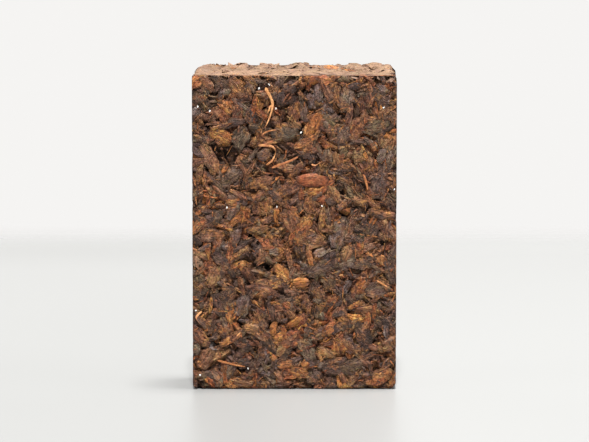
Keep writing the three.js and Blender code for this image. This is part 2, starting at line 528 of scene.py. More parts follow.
def twisted_leaf(seed):
    """A narrow strip of leaf, twisted about its length."""
    leaf = blank_leaf(seed, 2.4, 0.62, along=6, across=2, torn=0.08)
    round_outline(leaf, 0.6, 0.5)
    raise_ridge(leaf, lambda p: abs(p.y) < 0.03, 0.1)
    apply_modifier(
        leaf, "SIMPLE_DEFORM", deform_method="TWIST", deform_axis="X", angle=math.radians(130)
    )
    return leaf


def rolled_strip(seed):
    """Leaf rolled up tight along its length: a closed strip with wrinkles and blunt ends."""
    select_none()
    bpy.ops.mesh.primitive_uv_sphere_add(
        segments=8, ring_count=6, radius=0.5, rotation=(0, math.radians(90), 0)
    )
    roll = bpy.context.object
    bpy.ops.object.transform_apply(location=False, rotation=True, scale=False)
    note_grain(roll)
    pick_points(roll, lambda p: round(math.atan2(p.z, p.y) / math.radians(45)) % 2 == 1)
    bpy.ops.transform.resize(value=(1, 0.8, 0.8), center_override=(0, 0, 0))
    bpy.ops.object.mode_set(mode="OBJECT")
    roll.scale = (2.2, 0.85, 0.62)
    bpy.ops.object.transform_apply(location=False, rotation=False, scale=True)
    crumple(roll, 0.11, seed)
    apply_modifier(roll, "TRIANGULATE")
    return roll


def leaf_knot(seed):
    """A knot of leaf too crumpled to show an edge."""
    select_none()
    bpy.ops.mesh.primitive_ico_sphere_add(subdivisions=2, radius=0.5)
    lump = bpy.context.object
    note_grain(lump)
    lump.scale = (1.7, 1.15, 0.75)
    bpy.ops.object.transform_apply(location=False, rotation=False, scale=True)
    crumple(lump, 0.34, seed)
    return lump


def leaf_bud(seed):
    """A smooth closed bud, or a bit of leaf pressed to an oval."""
    select_none()
    bpy.ops.mesh.primitive_uv_sphere_add(
        segments=10, ring_count=8, radius=0.14, rotation=(0, math.radians(90), 0)
    )
    bud = bpy.context.object
    bpy.ops.object.transform_apply(location=False, rotation=True, scale=False)
    note_grain(bud)
    bud.scale = (8, 3.6, 1.8)
    bpy.ops.object.transform_apply(location=False, rotation=False, scale=True)
    crumple(bud, 0.09, seed)
    apply_modifier(bud, "TRIANGULATE")
    return bud


def crumb(seed):
    """A small crumb of leaf with a few faces."""
    select_none()
    bpy.ops.mesh.primitive_ico_sphere_add(subdivisions=1, radius=0.5)
    bit = bpy.context.object
    note_grain(bit)
    bit.scale = (0.36, 0.26, 0.2)
    bpy.ops.object.transform_apply(location=False, rotation=False, scale=True)
    crumple(bit, 0.09, seed)
    return bit


def fibre(seed):
    """A torn fibre: a thin narrow strip with a slight wave."""
    strip = blank_leaf(seed, 1.6, 0.16, along=5, across=1, torn=0.05)
    taper_end(strip, 1, 0.4)
    crumple(strip, 0.07, seed + 1)
    return strip


# %% Read each shape as plain numbers
LEAF_SHAPES = (broad_leaf, torn_flake, folded_leaf, creased_leaf, wavy_leaf, twisted_leaf)
VARIANTS = 4


def read_shape(thing):
    """A modelled shape's points, triangles and grain. The object itself is then removed."""
    points = np.array([point.co for point in thing.data.vertices])
    triangles = np.array([list(face.vertices) for face in thing.data.polygons])
    grain = np.zeros(len(points) * 3)
    thing.data.attributes[GRAIN].data.foreach_get("vector", grain)
    bpy.data.objects.remove(thing)
    middle_of_shape = (points.min(0) + points.max(0)) / 2
    return {"points": points - middle_of_shape, "triangles": triangles, "grain": grain.reshape(-1, 3)}


def model_shape(make, seed, thickness=None):
    """Models one variant of a shape and reads it."""
    thing = make(seed)
    if thickness:
        thicken(thing, thickness)
    return read_shape(thing)


shapes = {}
for make in LEAF_SHAPES:
    shapes[make.__name__] = [model_shape(make, 10 * n + 3, LEAF_THICKNESS) for n in range(VARIANTS)]
shapes["fibre"] = [model_shape(fibre, 10 * n + 3, 0.06) for n in range(VARIANTS)]
for make in (rolled_strip, leaf_knot, leaf_bud, crumb):
    shapes[make.__name__] = [model_shape(make, 10 * n + 3) for n in range(VARIANTS)]
print({name: len(variants[0]["triangles"]) for name, variants in shapes.items()}, "triangles")

# %% [markdown]
# ## Laying leaf on the block
#
# A place for a bit of leaf has a middle, a direction for the leaf's length, one for its breadth and
# one for out of the block, with its own size, bow, crown and tone. Every leaf is crowned: it falls
# away to its rim, so a dark groove runs between it and the next. The places are scattered on a
# loose grid. All random numbers come from one seeded generator, so the tea is the same each time.

# %% Faces of the block
random = np.random.default_rng(RANDOM_SEED)


def block_face(out_axis, sign):
    """One side of the block: its middle, its two directions, the way out and its half sizes."""
    across_axis, up_axis = [axis for axis in range(3) if axis != out_axis]
    out = sign * np.eye(3)[out_axis]
    return {
        "middle": block_middle + out * half_sizes[out_axis],
        "right": np.eye(3)[across_axis],
        "up": np.eye(3)[up_axis],
        "out": out,
        "half": (half_sizes[across_axis], half_sizes[up_axis]),
        "is_broad": out_axis == 1,
    }


FACES = {
    "front": block_face(1, -1),
    "back": block_face(1, 1),
    "left": block_face(0, -1),
    "right": block_face(0, 1),
    "top": block_face(2, 1),
    "base": block_face(2, -1),
}


def loose_grid(face, spacing):
    """Places scattered over a face on a shaken triangular grid, as two columns of numbers."""
    half_across, half_up = face["half"]
    rows = np.arange(-half_up, half_up + spacing, spacing * 0.87)
    places = []
    for number, row in enumerate(rows):
        columns = np.arange(-half_across, half_across + spacing, spacing) + 0.5 * spacing * (number % 2)
        places += [(column, row) for column in columns]
    places = np.array(places) + random.uniform(-0.42, 0.42, (len(places), 2)) * spacing
    inside = (np.abs(places[:, 0]) < half_across) & (np.abs(places[:, 1]) < half_up)
    return places[inside]


# %% [markdown]
# The front and the back are the mould's broad faces, and their leaf reaches over the edges. Leaf
# on the narrow faces ends just inside them, or its pressed ends would show from the front.

# %% Places for leaf
SIDE_MARGIN = 0.06


def unit(vectors):
    return vectors / np.linalg.norm(vectors, axis=-1, keepdims=True)


def place_leaves(face, spots, turn, heights, length, breadth, tilt=0.0, crown=0.2):
    """Places for leaf on a face, from each one's spot, turn in the face, height and size."""
    count = len(spots)
    along = np.outer(np.cos(turn), face["right"]) + np.outer(np.sin(turn), face["up"])
    along = unit(along + np.outer(random.normal(0, tilt, count), face["out"]))
    out = unit(face["out"] + random.normal(0, tilt, (count, 3)))
    across = unit(np.cross(out, along))
    return {
        "middle": face["middle"] + spots @ np.array([face["right"], face["up"]])
        + np.outer(heights, face["out"]),
        "along": along,
        "across": across,
        "out": np.cross(along, across),
        "length": length,
        "breadth": breadth,
        "crown": crown * random.uniform(0.6, 1.4, (count, 2)) * np.stack([0.3 * length, breadth], 1),
        "bow": random.normal(0, 0.14, count),
        "tone": random.normal(0, 1, count),
    }


def scatter(face, spacing, depth, length, breadth, tilt=0.14, crown=0.2):
    """Random places over a whole face. Pairs of numbers are the ends of a random range."""
    spots = loose_grid(face, spacing)
    count = len(spots)
    turn = random.uniform(0, 2 * math.pi, count)
    length = random.uniform(*length, count)
    breadth = random.uniform(*breadth, count)
    if not face["is_broad"]:
        ways = np.abs(np.stack([np.cos(turn), np.sin(turn)], 1))
        reach = 0.5 * (length[:, None] * ways + breadth[:, None] * ways[:, ::-1]) + SIDE_MARGIN
        room = np.maximum(np.array(face["half"]) - reach, 0)
        spots = np.clip(spots, -room, room)
    return place_leaves(
        face, spots,
        turn=turn,
        heights=-random.uniform(*depth, count),
        length=length,
        breadth=breadth,
        tilt=tilt,
        crown=crown,
    )


def some(places, chosen):
    """The chosen ones of a set of places."""
    return {name: values[chosen] for name, values in places.items()}


# %% Copies of a shape, bent one by one
LEAF_RISE = 0.08  # a leaf's middle lies this far above its place


def lay(shape, places):
    """Points, triangles, grain, tone and rim of a shape copied to every place."""
    base = shape["points"]
    count = len(places["length"])
    size = np.ptp(base, axis=0)
    share = base[:, :2] / size[:2]
    x = share[:, 0] * places["length"][:, None]
    y = share[:, 1] * places["breadth"][:, None]
    z = base[:, 2] * places["breadth"][:, None] / size[1] + LEAF_RISE
    z = z - places["crown"] @ ((2 * share) ** 2).T
    y = y + places["bow"][:, None] * places["length"][:, None] * share[:, 0] ** 2
    points = (
        places["middle"][:, None]
        + x[..., None] * places["along"][:, None]
        + y[..., None] * places["across"][:, None]
        + z[..., None] * places["out"][:, None]
    )
    grain = np.empty((count, len(base), 3))
    grain[..., 0] = shape["grain"][:, 0] / size[0] * places["length"][:, None]
    grain[..., 1] = shape["grain"][:, 1] / size[1] * places["breadth"][:, None]
    grain[..., 2] = random.uniform(0, 60, count)[:, None]
    tone = np.repeat(places["tone"], len(base))
    rim = np.tile(np.abs(2 * share).max(axis=1), count)
    step = len(base) * np.arange(count)[:, None, None]
    triangles = shape["triangles"][None] + step
    return points.reshape(-1, 3), triangles.reshape(-1, 3), grain.reshape(-1, 3), tone, rim


# %% [markdown]
# ## The mould
#
# What makes this a nugget and no heap is the mould. It squeezed the leaf flat against its walls,
# so leaf that would stand out ends flush, yet keeps its order: what lay on top still lies on top.
# A point beyond a wall is moved back to a thin band just inside it, the further out the closer to
# the wall. The same soft wall rounds the worn edges and cuts the chip off the back corner.

# %% Press leaf against the mould
PRESS_BAND = 0.12
TOP_BAND = 0.05  # the top is flatter still, but for its crags
EDGE_WEAR = 0.05
FOOT_WEAR = {(0, -1): 0.3, (0, 1): 0.45, (1, -1): 0.14, (1, 1): 0.14}  # left, right, front, back
CHIP_REACH = np.array([1.9, 3.4, 1.0])


def press(points, normal, distance, band=PRESS_BAND):
    """Moves the points beyond a wall back inside it, in order. The distance is from the origin."""
    normal = unit(np.array(normal, float))
    beyond = np.maximum(points @ normal - distance + band, 0)
    points -= (beyond - band * beyond / (band + beyond))[:, None] * normal


def press_into_mould(points):
    """Presses leaf against the chipped corner, the worn edges and the six walls."""
    corner = block_middle + half_sizes * (-1, 1, 1)
    chip_normal = np.array([-1, 1, 1]) / CHIP_REACH
    chip_distance = (corner @ chip_normal - 1) / np.linalg.norm(chip_normal)
    press(points, chip_normal, chip_distance)
    for first, second in itertools.combinations(range(3), 2):
        for first_sign, second_sign in itertools.product((-1, 1), repeat=2):
            normal = np.zeros(3)
            normal[first], normal[second] = first_sign, second_sign
            edge = block_middle + normal * half_sizes
            is_foot = second == 2 and second_sign < 0
            wear = FOOT_WEAR[first, first_sign] if is_foot else EDGE_WEAR
            press(points, normal, edge @ unit(normal) - wear)
    for axis in range(3):
        for sign in (-1, 1):
            wall = sign * np.eye(3)[axis]
            band = TOP_BAND if axis == 2 and sign > 0 else PRESS_BAND
            press(points, wall, block_middle @ wall + half_sizes[axis], band)


# %% [markdown]
# The top wasn't pressed as hard. It swells towards the back and stands up in crags there, the same
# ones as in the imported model, so leaf near the top is lifted with them.

# %% The loose, craggy top
SWELL = {"rise": 0.56, "from_front": 6.5, "from_side": 0.75}
CRAGS = [
    (-10.4, 2.2, 0.3, 1.5), (-6.5, 2.6, 0.4, 1.6), (-3.6, 2.5, 0.36, 1.3), (0.6, 2.7, 0.5, 2.0),
    (4.2, 2.5, 0.16, 1.4), (7.3, 2.6, 0.4, 1.5), (9.8, 2.7, 0.5, 1.7), (11.4, 2.2, 0.3, 1.1),
]
LIFT_DEPTH = 1.6  # how far below the top the lifting has faded out


def ease(value):
    """Zero to one with soft ends."""
    value = np.clip(value, 0, 1)
    return value * value * (3 - 2 * value)


def lift_top(points):
    """Raises leaf near the top by the swell and the crags."""
    x, y, z = points.T
    back = ease((y + HALF_DEPTH) / SWELL["from_front"])
    inside = ease((HALF_WIDTH - np.abs(x)) / SWELL["from_side"])
    crags = [height * (1 - ease(np.hypot(x - cx, y - cy) / radius)) for cx, cy, height, radius in CRAGS]
    near_top = ease((z - FRONT_TOP + LIFT_DEPTH) / LIFT_DEPTH)
    points[:, 2] += near_top * (np.max(crags, axis=0) + SWELL["rise"] * back * inside)


# %% [markdown]
# Here and there the leaf didn't fill the mould. These pits and cracks are placed on the front as
# the picture shows them, by their middle, size and turn in pixels. The other faces get cracks of
# the same kind at random, all but the top, which has none.

# %% Pits and cracks
PIT_DEPTH = 0.5
FRONT_PITS = [
    ((227, 153), (13, 11), 0), ((301, 90), (12, 3), -8), ((318, 93), (7, 2.5), -10),
    ((288, 121), (7, 2.5), 20), ((350.6, 84), (2.5, 7), 0), ((297, 209), (4, 3), 30),
    ((252, 261), (13, 5), -5), ((240, 292), (3, 3), 0), ((332, 294), (8, 3.5), 10),
    ((282, 320), (8, 2.5), -45), ((235, 368.5), (11, 3), -4), ((312, 366), (6, 3), 0),
    ((372, 357), (6, 2.5), 30), ((239, 78), (12, 2.5), -4), ((209, 387), (7, 2), 0),
    ((295, 387), (6, 2), 0), ((342, 387), (8, 2), 0), ((262, 102), (3, 8), 15),
    ((299, 128), (4, 8), -50), ((208, 92), (7, 2.5), -40), ((233, 350), (5, 3), 0),
    ((268, 363), (3, 7), 10), ((205, 338), (6, 3), 0), ((196, 178), (3, 5), 0),
    ((262, 212), (6, 2.5), -20), ((330, 236), (2.5, 7), 10), ((362, 270), (8, 2.5), 15),
    ((384, 246), (7, 2.5), -30), ((316, 338), (6, 2.5), 40), ((352, 340), (3, 6), -20),
    ((272, 297), (7, 2.2), 25), ((218, 290), (2.5, 6), 25), ((345, 212), (6, 2.2), -30),
    ((383, 140), (2.2, 6), 10), ((336, 150), (6, 2), -40), ((244, 190), (7, 2), 50),
]
FACE_AREA_FOR_A_PIT = 26


def front_pits():
    """The pits and cracks of the front, in millimetres."""
    return [
        {
            "middle": np.array(on_front(*spot)) - (0, FRONT_TOP / 2),
            "half": np.array(reach) * PIXEL,
            "turn": math.radians(turn),
        }
        for spot, reach, turn in FRONT_PITS
    ]


def random_pits(face):
    """Pits and cracks for a face that the picture doesn't show."""
    half = np.array(face["half"])
    count = round(4 * half[0] * half[1] / FACE_AREA_FOR_A_PIT)
    return [
        {
            "middle": random.uniform(-1, 1, 2) * half,
            "half": random.uniform((0.5, 0.25), (1.3, 0.5)),
            "turn": random.uniform(0, math.pi),
        }
        for number in range(count)
    ]


pits = {name: random_pits(face) for name, face in FACES.items()}
pits |= {"front": front_pits(), "top": []}


def reach_in(spot, flat):
    """How far out points lie in an oval spot of a face: 0 in its middle, 1 on its rim."""
    cosine, sine = math.cos(spot["turn"]), math.sin(spot["turn"])
    gap = flat - spot["middle"]
    return np.hypot(
        (gap[:, 0] * cosine + gap[:, 1] * sine) / spot["half"][0],
        (gap[:, 1] * cosine - gap[:, 0] * sine) / spot["half"][1],
    )


def flat_places(face, points):
    """Points as two columns of numbers, across a face and up it."""
    away = points - face["middle"]
    return np.stack([away @ face["right"], away @ face["up"]], axis=1)


def keep_off(places, face, spots, reach=1.0):
    """The places on a face that lie outside all the oval spots."""
    flat = flat_places(face, places["middle"])
    free = np.ones(len(flat), bool)
    for spot in spots:
        free &= reach_in(spot, flat) > reach
    return some(places, free)


def sink(places, face, spots, depth, start, end):
    """Lays leaf deeper in oval spots: fully up to a start, then less and less up to an end."""
    flat = flat_places(face, places["middle"])
    share = np.zeros(len(flat))
    for spot in spots:
        share = np.maximum(share, 1 - ease((reach_in(spot, flat) - start) / (end - start)))
    places["middle"] -= depth * share[:, None] * face["out"]
    return places


print("pits:", {name: len(found) for name, found in pits.items()})

# %% [markdown]
# ## The leaf itself
#
# Now the layers are laid: buried leaf that closes the block, a middle layer, broad leaves, and the
# small flush bits that lie over and between them. Each place draws a kind of leaf, by how common
# the kind is in the picture. Each kind becomes one object, made of all its bits, whatever their
# shape.

# %% Which leaf is how common
KINDS = {
    "dark_leaf": 0.3,
    "brown_leaf": 0.32,
    "grey_leaf": 0.18,
    "rust_leaf": 0.16,
    "golden_leaf": 0.04,
}
TOP_KINDS = {
    "dark_leaf": 0.01,
    "brown_leaf": 0.035,
    "grey_leaf": 0.02,
    "rust_leaf": 0.01,
    "golden_leaf": 0.005,
    "loose_leaf": 0.92,
}
SMALL_SHAPES = {
    "torn_flake": 0.26,
    "folded_leaf": 0.18,
    "creased_leaf": 0.24,
    "wavy_leaf": 0.13,
    "twisted_leaf": 0.03,
    "rolled_strip": 0.1,
    "leaf_knot": 0.06,
}
BURIED = {"spacing": 1.5, "depth": (0.75, 1.1), "length": (2.2, 3.6), "breadth": (1.2, 2.0)}
MIDDLE = {"spacing": 1.2, "depth": (0.28, 0.6), "length": (1.7, 3.2), "breadth": (0.9, 1.7)}
BROAD = {"spacing": 2.7, "depth": (0.0, 0.26), "length": (2.4, 4.6), "breadth": (1.3, 2.4), "crown": 0.1}
FLUSH = {"spacing": 1.26, "depth": (0.0, 0.3), "length": (1.2, 3.8), "breadth": (0.5, 1.7)}
TOP_LAYER = {"depth": (-0.2, 0.06), "tilt": 0.05, "crown": 0.05}  # the top's leaf lies flat

batches = {
    kind: [] for kind in (*TOP_KINDS, "buried_leaf", "fibres", "crumbs", "specks_with_painted_glints", "stalks")
}


def lay_mixed(places, shape_shares, kind_shares):
    """Lays leaf of random kinds and shapes at every place."""
    count = len(places["length"])
    kind_of = random.choice(list(kind_shares), count, p=list(kind_shares.values()))
    shape_of = random.choice(list(shape_shares), count, p=list(shape_shares.values()))
    variant_of = random.integers(0, VARIANTS, count)
    for kind, name, variant in itertools.product(kind_shares, shape_shares, range(VARIANTS)):
        chosen = (kind_of == kind) & (shape_of == name) & (variant_of == variant)
        if chosen.any():
            batches[kind].append(lay(shapes[name][variant], some(places, chosen)))


# %% [markdown]
# Some leaves of the front are plain to see in the picture: the rust oval in the middle, the golden triangle,
# the large grey leaf on the right. They are listed one by one, each with its kind, shape, middle, length and
# breadth in pixels, turn in degrees and tone. Scattered leaf keeps off them.

# %% Leaves laid one by one on the front
FRONT_LEAVES = [
    ("golden_leaf", "broad_leaf", (313, 124), (32, 14), 58, 0.2),
    ("rust_leaf", "leaf_bud", (312.3, 179.3), (33, 16), -2, -0.6),
    ("rust_leaf", "broad_leaf", (221, 136), (26, 17), -25, 0.5),
    ("brown_leaf", "broad_leaf", (210, 158), (36, 15), -62, 1.8),
    ("grey_leaf", "broad_leaf", (378.6, 181), (36, 25), 80, -0.4),
    ("rust_leaf", "folded_leaf", (231, 249), (29, 10), 85, 0.8),
    ("golden_leaf", "wavy_leaf", (283, 272), (24, 12), -48, 1.4),
    ("golden_leaf", "leaf_bud", (300.8, 281.7), (17, 12), 0, 0.2),
    ("rust_leaf", "broad_leaf", (301, 229), (42, 15), 56, 1.6),
    ("brown_leaf", "folded_leaf", (322, 217), (27, 7), 82, 2.2),
    ("grey_leaf", "leaf_bud", (319.7, 251.6), (13, 10), 20, 2.2),
    ("grey_leaf", "leaf_knot", (274, 251), (11, 9), 0, 1.6),
    ("brown_leaf", "torn_flake", (251.6, 327), (17, 14), -20, 2.2),
    ("brown_leaf", "folded_leaf", (260, 336), (18, 6), -42, 1.2),
    ("rust_leaf", "torn_flake", (333, 328), (18, 16), 30, 0.7),
    ("rust_leaf", "broad_leaf", (290, 340), (30, 18), 35, 0.2),
    ("golden_leaf", "creased_leaf", (285, 364), (17, 11), 5, -0.6),
    ("rust_leaf", "torn_flake", (299, 372), (20, 13), -20, 1.4),
    ("golden_leaf", "torn_flake", (306, 362), (12, 8), 40, -1.0),
    ("brown_leaf", "leaf_knot", (280.4, 350.5), (14, 10), 60, 2.4),
    ("rust_leaf", "torn_flake", (381, 376), (28, 16), 32, 1.2),
    ("golden_leaf", "folded_leaf", (372, 381), (14, 6), 15, -0.4),
    ("rust_leaf", "wavy_leaf", (355, 304), (18, 6), 25, 0.5),
    ("rust_leaf", "wavy_leaf", (231, 338), (27, 9), 35, 1.6),
    ("grey_leaf", "broad_leaf", (285, 133), (28, 19), 12, -0.4),
    ("grey_leaf", "broad_leaf", (241, 137), (24, 19), 70, -0.2),
    ("brown_leaf", "broad_leaf", (237, 87), (24, 14), -50, 0.9),
    ("grey_leaf", "rolled_strip", (241, 104), (22, 6), -36, 0.8),
    ("golden_leaf", "folded_leaf", (229.5, 105.5), (13, 6), -68, -0.8),
    ("brown_leaf", "broad_leaf", (208, 84), (19, 12), -52, 0.4),
    ("brown_leaf", "wavy_leaf", (200, 172), (24, 7), 78, 1.6),
    ("brown_leaf", "broad_leaf", (262, 182), (26, 14), 15, 0.8),
    ("grey_leaf", "broad_leaf", (340, 232), (34, 22), 70, 0.6),
    ("grey_leaf", "broad_leaf", (345, 98), (30, 20), 85, 0.4),
    ("brown_leaf", "broad_leaf", (356, 128), (26, 18), 60, 0.6),
    ("brown_leaf", "creased_leaf", (258, 228), (24, 13), 10, 0.5),
    ("grey_leaf", "broad_leaf", (213, 218), (26, 16), 40, 0.2),
    ("rust_leaf", "folded_leaf", (362, 247), (14, 4), 84, 1.2),
    ("grey_leaf", "broad_leaf", (243, 305), (24, 17), 75, 0.5),
    ("brown_leaf", "broad_leaf", (214, 276), (24, 14), 70, 0.9),
    ("dark_leaf", "broad_leaf", (320, 268), (28, 18), 20, 0.4),
    ("rust_leaf", "folded_leaf", (211, 304), (18, 4), 84, 1.5),
    ("brown_leaf", "broad_leaf", (206, 358), (24, 16), 65, 0.8),
    ("dark_leaf", "broad_leaf", (352, 366), (27, 16), 15, 0.2),
    ("brown_leaf", "creased_leaf", (326, 352), (22, 11), -25, 0.7),
    ("golden_leaf", "creased_leaf", (304, 141.5), (27, 8), 27, -0.8),
    ("dark_leaf", "torn_flake", (264.5, 154), (15, 12), 20, 1.8),
]

HAND_LAID_RISE = np.array([0.12])  # they lie over their neighbours


def leaves_by_hand():
    """Lays the front's own leaves, and lists the spots that scattered leaf keeps off."""
    kept = []
    for kind, shape, spot, size, turn, tone in FRONT_LEAVES:
        x, z = on_front(*spot)
        flat = np.array([[x, z - FRONT_TOP / 2]])
        length, breadth = (np.array([side * PIXEL]) for side in size)
        angle = np.array([math.radians(turn)])
        places = place_leaves(FACES["front"], flat, angle, HAND_LAID_RISE, length, breadth)
        places["bow"] = places["bow"] * 0.3
        places["tone"] = np.array([tone])
        batches[kind].append(lay(shapes[shape][len(kept) % VARIANTS], places))
        kept.append({"middle": flat[0], "half": (length[0] / 2, breadth[0] / 2), "turn": angle[0]})
    return kept


hand_laid = leaves_by_hand()
print(len(hand_laid), "leaves laid by hand")

# %% [markdown]
# ## Stalks
#
# A few stalks and torn fibres lie on the front, pale against the leaf. Each follows its points in
# the picture: a small ring is extruded from point to point and narrows on its way, then flattened
# by the mould like the rest. Scattered leaf keeps off them too, and lies a little deeper near them.

# %% Stalks that the picture shows
STALKS = [
    ([(265.5, 87), (268, 92), (271, 97), (273, 103), (272, 110), (269.5, 118), (265.7, 126.6)], 3.4, 0.6),
    ([(272.6, 104), (269.5, 107), (267.8, 113)], 1.8, 0.4),
    ([(270.6, 167.2), (281, 163.5), (291.6, 159.5), (298.7, 155.3)], 2.6, -5.0),
    ([(258, 144.8), (267, 144.4), (274.8, 145.5), (276.9, 151.8), (272, 161.6), (265.7, 163.7)], 2.6, -0.6),
    ([(311, 163), (315, 165.5), (318, 162.5), (323, 160)], 2.0, 0.4),
    ([(362.5, 173), (365, 179), (366.5, 185), (367.4, 189.7)], 2.2, -3.2),
    ([(202.5, 310), (198.5, 313.5), (195, 317), (198, 320), (200.5, 324)], 2.2, 0.0),
    ([(376, 279), (382, 283), (389, 287)], 1.6, -0.6),
    ([(241, 331), (234, 338), (226, 345)], 1.6, -1.2),
    ([(262, 134), (268, 130), (277, 129)], 1.4, -1.4),
    ([(216, 359.5), (226, 362), (236, 365), (246, 366)], 2.2, -3.2),
]
STALK_SIDES = 6
STALK_RISE = 0.08  # its middle stands this far out of the front before the mould presses it


def stalk_along(path, breadth):
    """A stalk that follows points of the picture, its breadth in pixels."""
    half = 1.25 * breadth * PIXEL / 2  # smoothing makes it thinner again
    points = [Vector((x, -HALF_DEPTH - STALK_RISE, z)) for x, z in (on_front(*spot) for spot in path)]
    first_way = (points[1] - points[0]).to_track_quat("Z", "Y").to_euler()
    select_none()
    bpy.ops.mesh.primitive_circle_add(
        vertices=STALK_SIDES, radius=half, fill_type="NGON", location=points[0], rotation=first_way
    )
    thing = bpy.context.object
    bpy.ops.object.transform_apply(location=True, rotation=True, scale=True)
    bpy.ops.object.mode_set(mode="EDIT")
    bpy.ops.mesh.select_mode(type="FACE")
    bpy.ops.mesh.select_all(action="SELECT")
    for here, there in itertools.pairwise(points):
        bpy.ops.mesh.extrude_region_move(TRANSFORM_OT_translate={"value": there - here})
        bpy.ops.transform.resize(value=(0.93, 0.93, 0.93), center_override=there)
    bpy.ops.mesh.select_all(action="SELECT")
    bpy.ops.transform.vertex_random(offset=half * 0.25, uniform=1, normal=0, seed=len(path))
    bpy.ops.mesh.normals_make_consistent(inside=False)
    bpy.ops.object.mode_set(mode="OBJECT")
    apply_modifier(thing, "SUBSURF", levels=1, render_levels=1)
    apply_modifier(thing, "TRIANGULATE")
    note_grain(thing)
    return thing


def stalk_spots(path, breadth):
    """Oval spots along a stalk, for scattered leaf to keep off."""
    flat = [np.array(on_front(*spot)) - (0, FRONT_TOP / 2) for spot in path]
    return [
        {
            "middle": (here + there) / 2,
            "half": (np.hypot(*(there - here)) / 2 + 0.2, breadth * PIXEL * 1.4),
            "turn": math.atan2(*(there - here)[::-1]),
        }
        for here, there in itertools.pairwise(flat)
    ]


stalk_bed = []
for path, breadth, tone in STALKS:
    stalk_bed += stalk_spots(path, breadth)
    thing = stalk_along(path, breadth)
    place = np.array([point.co for point in thing.data.vertices])
    shape = read_shape(thing)
    grain = shape["grain"][:, [2, 0, 1]]
    plain = np.zeros(len(place))
    batches["stalks"].append((place, shape["triangles"], grain, plain + tone, plain))
hand_laid += stalk_bed
print(len(STALKS), "stalks")

# %% Lay the layers
for name, face in FACES.items():
    kept_free = hand_laid if name == "front" else []
    kinds = TOP_KINDS if name == "top" else KINDS
    lay_mixed(scatter(face, **BURIED), {"torn_flake": 1.0}, {"buried_leaf": 1.0})
    lay_mixed(sink(scatter(face, **MIDDLE), face, pits[name], PIT_DEPTH, 0.6, 1.6), SMALL_SHAPES, kinds)
    flat = TOP_LAYER if name == "top" else {}
    broad = keep_off(scatter(face, **(BROAD | flat)), face, kept_free + pits[name], 1.3)
    flush = keep_off(scatter(face, **(FLUSH | flat)), face, kept_free + pits[name], 1.0)
    if name == "front":
        broad, flush = (sink(places, face, stalk_bed, 0.16, 1.0, 3.2) for places in (broad, flush))
    lay_mixed(broad, {"broad_leaf": 1.0}, kinds)
    lay_mixed(flush, SMALL_SHAPES, kinds)

# %% [markdown]
# ## Fibres and crumbs
#
# Short fibres and crumbs, too small to tell one from the other, are scattered everywhere, and a few glossy
# specks are coloured near-white: a painted glint.

# %% Fibres, crumbs and specks with painted glints
FIBRES = {"spacing": 2.4, "depth": (-0.16, 0.12), "length": (0.6, 1.7), "breadth": (0.09, 0.2)}
CRUMBS = {"spacing": 1.15, "depth": (-0.1, 0.3), "length": (0.2, 0.5), "breadth": (0.15, 0.34)}
SPECKS = {"spacing": 5.6, "depth": (-0.02, 0.02), "length": (0.14, 0.24), "breadth": (0.12, 0.2)}
# Where the front shows glints; specks with a painted near-white glint are laid there.
FRONT_SPECKS = [
    (198.6, 106.2), (210.5, 110.4), (275.9, 108), (300.8, 131.7), (321.8, 204.9), (227, 206.3),
    (394, 188.3), (276.9, 205.8), (259.4, 88), (269.3, 84.2), (382.8, 106.9), (196, 309.5),
    (248, 368), (200, 374.5),
]

for name, face in FACES.items():
    lay_mixed(scatter(face, **FIBRES, crown=0.1), {"fibre": 1.0}, {"fibres": 1.0})
    lay_mixed(scatter(face, **CRUMBS, crown=0.0), {"crumb": 1.0}, {"crumbs": 1.0})
    specks = scatter(face, **SPECKS, crown=0.0)
    if name == "front":
        flat = np.array([on_front(*spot) for spot in FRONT_SPECKS]) - (0, FRONT_TOP / 2)
        count = len(flat)
        specks = place_leaves(
            face, flat, random.uniform(0, 3, count), np.full(count, 0.05),
            random.uniform(0.2, 0.36, count), random.uniform(0.17, 0.25, count), crown=0.0,
        )
    lay_mixed(specks, {"crumb": 1.0}, {"specks_with_painted_glints": 1.0})

# %% [markdown]
# The very top was never pressed. Loose bits lie on its back half, each tilted a little.

# %% Loose leaf on the top
LOOSE = {"spacing": 1.4, "depth": (0.04, 0.28), "length": (1.0, 2.4), "breadth": (0.4, 1.1)}
LOOSE_FROM = -1.5  # they start this far from the block's middle towards the front
LOOSE_SHAPES = {"torn_flake": 0.3, "folded_leaf": 0.2, "wavy_leaf": 0.2, "leaf_knot": 0.3}

loose = scatter(FACES["top"], **LOOSE, tilt=0.2, crown=0.15)
x, y, z = loose["middle"].T
loose = some(loose, (y > LOOSE_FROM) & (y < 3.4) & (np.abs(x) < 10.8))
batches["unpressed_leaf"] = []
lay_mixed(loose, LOOSE_SHAPES, {"unpressed_leaf": 1.0})
print(len(loose["length"]), "loose leaves on the top")


# %% Join each kind into one piece
def depth_inside(points):
    """How far inside the nearest wall of the mould each point lies."""
    return (half_sizes - np.abs(points - block_middle)).min(axis=1)


